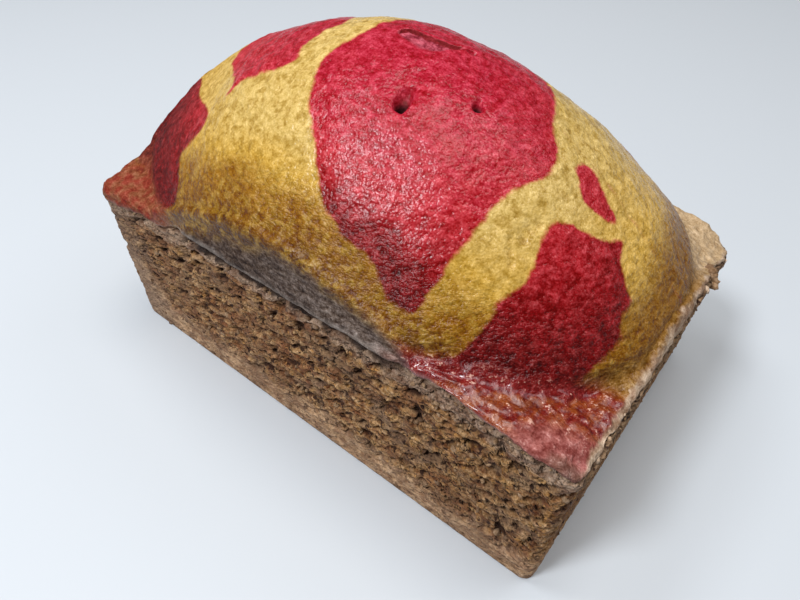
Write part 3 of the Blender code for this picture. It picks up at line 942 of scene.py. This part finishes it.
def crust_material():
    material, tree, shader = new_material("marbled crust")
    place = here(tree)
    mid = grain(tree, place, 3.5 * MM)
    broad = grain(tree, place, 13 * MM)
    pebbles, creases, shade = place_grain(tree, place, 0.75 * MM)
    rise, band, swirl = mark(tree, "rise"), mark(tree, "band"), mark(tree, "swirl")

    wander = scale_add(tree, mid, 1.2 * MM, -0.6 * MM)
    wander = scale_add(tree, pebbles, 0.8 * MM, wander)
    edge = sums(tree, "ADD", swirl, wander)
    blots = grain(tree, place, 2.6 * MM, 3.0, 0.6)
    along = coordinate(tree, place, "X")
    gold = gold_crust(tree, rise, along, broad, blots, shade)
    crust = blend(tree, ramp(tree, edge, -0.1 * MM, 1.1 * MM), gold, red_crust(tree, rise, mid, shade))
    crust = blend(tree, mark(tree, "ledge"), crust, baked_ledge(tree, mid, broad, shade))
    ashen, taupe = colour(0.070, 0.044, 0.033), colour(0.115, 0.076, 0.056)
    pressed = blend(tree, ramp(tree, mid, 0.35, 0.65), ashen, taupe)
    pressed = shift_lightness(tree, pressed, shade, 0.14, ramp(tree, along, -40 * MM, 25 * MM, -0.08, 0.03))
    crust = blend(tree, band, crust, pressed)
    # pale lower edge of the crust: its own pale edge, with a painted highlight on the lip
    hem_and_highlight = blend(tree, mark(tree, "rust"), colour(0.33, 0.27, 0.23), colour(0.32, 0.14, 0.11))
    crust = blend(tree, times(tree, mark(tree, "hem_and_highlight"), 0.45), crust, shift_lightness(tree, hem_and_highlight, shade, 0.08))
    flaked = blend(tree, ramp(tree, mid, 0.35, 0.65), colour(0.30, 0.18, 0.11), colour(0.50, 0.36, 0.25))
    crust = blend(tree, mark(tree, "fringe"), crust, shift_lightness(tree, flaked, shade, 0.10))
    floor = blend(tree, ramp(tree, blots, 0.40, 0.62), colour(0.20, 0.010, 0.022), colour(0.46, 0.070, 0.100))
    # painted shadow: dark red along the deepest line under the tear's far lip
    floor = blend(tree, ramp(tree, mark(tree, "tear shadow"), 0.3, 0.9), floor, colour(0.16, 0.001, 0.003))
    crust = blend(tree, mark(tree, "torn"), crust, shift_lightness(tree, floor, shade, 0.10))
    # painted shade in the hole and the burst bubbles: near black by depth
    crust = blend(tree, ramp(tree, mark(tree, "hole_shade"), 0.25, 0.95, 0.0, 0.95), crust,
                  colour(0.030, 0.004, 0.004))

    dull = larger(tree, times(tree, band, 0.85), mark(tree, "dusty"))
    dull = larger(tree, dull, larger(tree, mark(tree, "hole_shade"), mark(tree, "torn")))
    dull = larger(tree, dull, mark(tree, "fringe"))
    dull = larger(tree, dull, ramp(tree, along, -44 * MM, -60 * MM, 0.0, 0.8))
    relief = scale_add(tree, grain(tree, place, 1.6 * MM, 1.0), 0.6, pebbles)
    folds = times(tree, scale_add(tree, creases, 1.0, -0.5), ramp(tree, rise, 22 * MM, 10 * MM, 0.35, 3.0))
    relief = sums(tree, "ADD", relief, folds)
    put_bump(tree, shader, relief, 0.25 * MM)
    wet = times(tree, mark(tree, "rust"), mark(tree, "ledge"))
    wet = times(tree, wet, sums(tree, "SUBTRACT", 0.6, dull, clamp=True))
    fill(tree, shader, {"Base Color": crust, "Roughness": ramp(tree, dull, 0.0, 1.0, 0.24, 0.80),
                        "Specular IOR Level": 0.23, "Coat Weight": wet, "Coat Roughness": 0.18})
    return material


def crumb_material():
    material, tree, shader = new_material("torn chocolate crumb")
    place = here(tree)
    mid = grain(tree, place, 3.2 * MM, 3.0)
    broad = grain(tree, place, 12 * MM)
    pebbles, _, shade = place_grain(tree, place, 0.9 * MM)
    crumb = blend(tree, ramp(tree, mid, 0.36, 0.64), colour(0.20, 0.085, 0.036), colour(0.53, 0.290, 0.125))
    crumb = blend(tree, times(tree, mark(tree, "clump"), 0.6), crumb, colour(0.57, 0.34, 0.150))
    along = coordinate(tree, place, "X")
    # painted shade: the crumb is darkened towards the right end, where less light falls
    crumb = shift_lightness(tree, crumb, shade, 0.13, ramp(tree, along, 0.0, 60 * MM, 0.0, -0.05))
    flecks = grain(tree, place, 2.0 * MM, 1.0)
    crumb = blend(tree, ramp(tree, flecks, 0.66, 0.74, 0.0, 0.8), crumb, colour(0.64, 0.30, 0.080))
    patches = grain(tree, place, 7 * MM)
    crumb = blend(tree, ramp(tree, patches, 0.50, 0.66, 0.0, 0.55), crumb, colour(0.24, 0.150, 0.095))
    crumb = blend(tree, ramp(tree, patches, 0.48, 0.34, 0.0, 0.55), crumb, colour(0.27, 0.095, 0.035))
    strip = scale_add(tree, mid, 5 * MM, coordinate(tree, place, "Z"))
    strip = scale_add(tree, broad, 6 * MM, strip)
    strip = sums(tree, "ADD", strip, ramp(tree, along, -60 * MM, -78 * MM, 0.0, -24 * MM))
    pale = blend(tree, ramp(tree, mid, 0.35, 0.65), colour(0.38, 0.220, 0.125), colour(0.60, 0.380, 0.225))
    strip = ramp(tree, strip, 24 * MM, 13 * MM, 0.0, 0.75)
    crumb = blend(tree, strip, crumb, shift_lightness(tree, pale, shade, 0.07))
    upper = scale_add(tree, mid, 4 * MM, mark(tree, "below edge"))
    crumb = blend(tree, ramp(tree, upper, 6 * MM, 3 * MM, 0.0, 0.6), crumb, colour(0.25, 0.180, 0.110))
    crumb = blend(tree, ramp(tree, broad, 0.4, 0.7, 0.0, 0.5), crumb, colour(0.19, 0.095, 0.050))
    greyer = ramp(tree, along, -58 * MM, -78 * MM, 0.0, 0.5)
    crumb = blend(tree, greyer, crumb, colour(0.21, 0.145, 0.105))
    stretched = vectors(tree, "MULTIPLY", {0: place, 1: (0.5, 0.5, 1.0)})
    pricks = grain(tree, stretched, 1.2 * MM)
    # painted shade: open pores and pin pricks coloured near black, as shade in the hollows
    pore_shade = larger(tree, mark(tree, "pore"), ramp(tree, pricks, 0.57, 0.67))
    pore_shade = times(tree, pore_shade, scale_add(tree, strip, -0.6, 1.0))
    crumb = blend(tree, ramp(tree, pore_shade, 0.15, 0.9, 0.0, 0.92), crumb, colour(0.036, 0.013, 0.008))
    dull = blend(tree, ramp(tree, mid, 0.36, 0.64), colour(0.27, 0.155, 0.100), colour(0.42, 0.280, 0.190))
    crumb = blend(tree, times(tree, mark(tree, "skin"), 0.85), crumb, shift_lightness(tree, dull, shade, 0.11))
    # painted shadow under the lip, near black
    crumb = blend(tree, times(tree, mark(tree, "lip_shadow"), 0.93), crumb, colour(0.020, 0.010, 0.008))
    fill(tree, shader, {"Base Color": crumb, "Roughness": 0.85, "Specular IOR Level": 0.22})
    relief = sums(tree, "SUBTRACT", pebbles, times(tree, pricks, 0.7))
    relief = times(tree, relief, scale_add(tree, strip, -0.5, 1.0))
    put_bump(tree, shader, relief, 2.0 * MM)
    return material


CRUMBS_BY_TONE = ((0.0, colour(0.12, 0.060, 0.030)), (0.45, colour(0.36, 0.22, 0.12)),
                  (1.0, colour(0.66, 0.48, 0.34)))


def crumbs_material():
    material, tree, shader = new_material("loose crumbs")
    place = here(tree)
    pebbles, _, shade = place_grain(tree, place, 0.8 * MM)
    tint = stops(tree, mark(tree, "tone"), CRUMBS_BY_TONE)
    fill(tree, shader, {"Base Color": shift_lightness(tree, tint, shade, 0.09), "Roughness": 0.85,
                        "Specular IOR Level": 0.25})
    put_bump(tree, shader, pebbles, 0.4 * MM, 0.8)
    return material


def floor_material():
    material, tree, shader = new_material("pale floor")
    fill(tree, shader, {"Base Color": colour(0.58, 0.60, 0.62), "Roughness": 0.6})
    return material


# --- Floor, light and camera --------------------------------------------------------------
def make_floor():
    mesh = bmesh.new()
    bmesh.ops.create_grid(mesh, x_segments=1, y_segments=1, size=3.0)
    floor = to_object(mesh, "floor")
    floor.data.materials.append(floor_material())


# Name, direction from the loaf, distance, size, power and tint of each lamp.
LIGHTS = (
    ("window", (-0.17, -0.54, 0.83), 0.95, 0.22, 6.6, (0.89, 0.94, 1.0)),
    ("side lamp", (-0.46, -0.19, 0.87), 0.95, 0.26, 2.4, (0.89, 0.94, 1.0)),
    ("ceiling", (0.10, 0.10, 1.00), 1.1, 0.60, 5.9, (1.0, 0.99, 0.97)),
    ("back window", (0.40, 0.52, 0.75), 1.2, 0.50, 1.8, (0.86, 0.92, 1.0)),
)
LIT_MIDDLE = (0.0, 0.0, 50 * MM)


def make_light():
    for name, direction, distance, size, power, tint in LIGHTS:
        lamp = bpy.data.lights.new(name, "AREA")
        lamp.shape = "DISK"
        lamp.size = size
        lamp.energy = power
        lamp.color = tint
        holder = bpy.data.objects.new(name, lamp)
        way = Vector(direction).normalized()
        holder.location = Vector(LIT_MIDDLE) + distance * way
        holder.rotation_euler = way.to_track_quat("Z", "Y").to_euler()
        bpy.context.scene.collection.objects.link(holder)
    world = bpy.data.worlds.new("studio")
    world.use_nodes = True
    tree = world.node_tree
    fill(tree, tree.nodes["Background"], {"Color": colour(0.88, 0.90, 0.95), "Strength": 0.16})
    bpy.context.scene.world = world
    bpy.context.scene.view_settings.view_transform = "Standard"


CAMERA_AT = (89.67 * MM, -126.95 * MM, 187.04 * MM)
HEADING, TILT, ROLL = math.radians(-36.26), math.radians(-47.78), math.radians(1.80)
LENS = 29.66


def make_camera():
    """Close above the near long side, turned towards the right-hand end."""
    forward = Vector((math.sin(HEADING) * math.cos(TILT), math.cos(HEADING) * math.cos(TILT), math.sin(TILT)))
    right = forward.cross(Vector((0.0, 0.0, 1.0))).normalized()
    up = right.cross(forward)
    turned_right = math.cos(ROLL) * right + math.sin(ROLL) * up
    turned_up = math.cos(ROLL) * up - math.sin(ROLL) * right
    lens = bpy.data.cameras.new("camera")
    lens.lens = LENS
    lens.sensor_width = 36.0
    lens.clip_start = 0.01
    camera = bpy.data.objects.new("camera", lens)
    axes = Matrix((turned_right, turned_up, -forward)).transposed().to_4x4()
    camera.matrix_world = Matrix.Translation(CAMERA_AT) @ axes
    bpy.context.scene.collection.objects.link(camera)
    bpy.context.scene.camera = camera


make_camera()
make_light()
make_floor()
make_crust()
make_crumb()
make_crumbs()
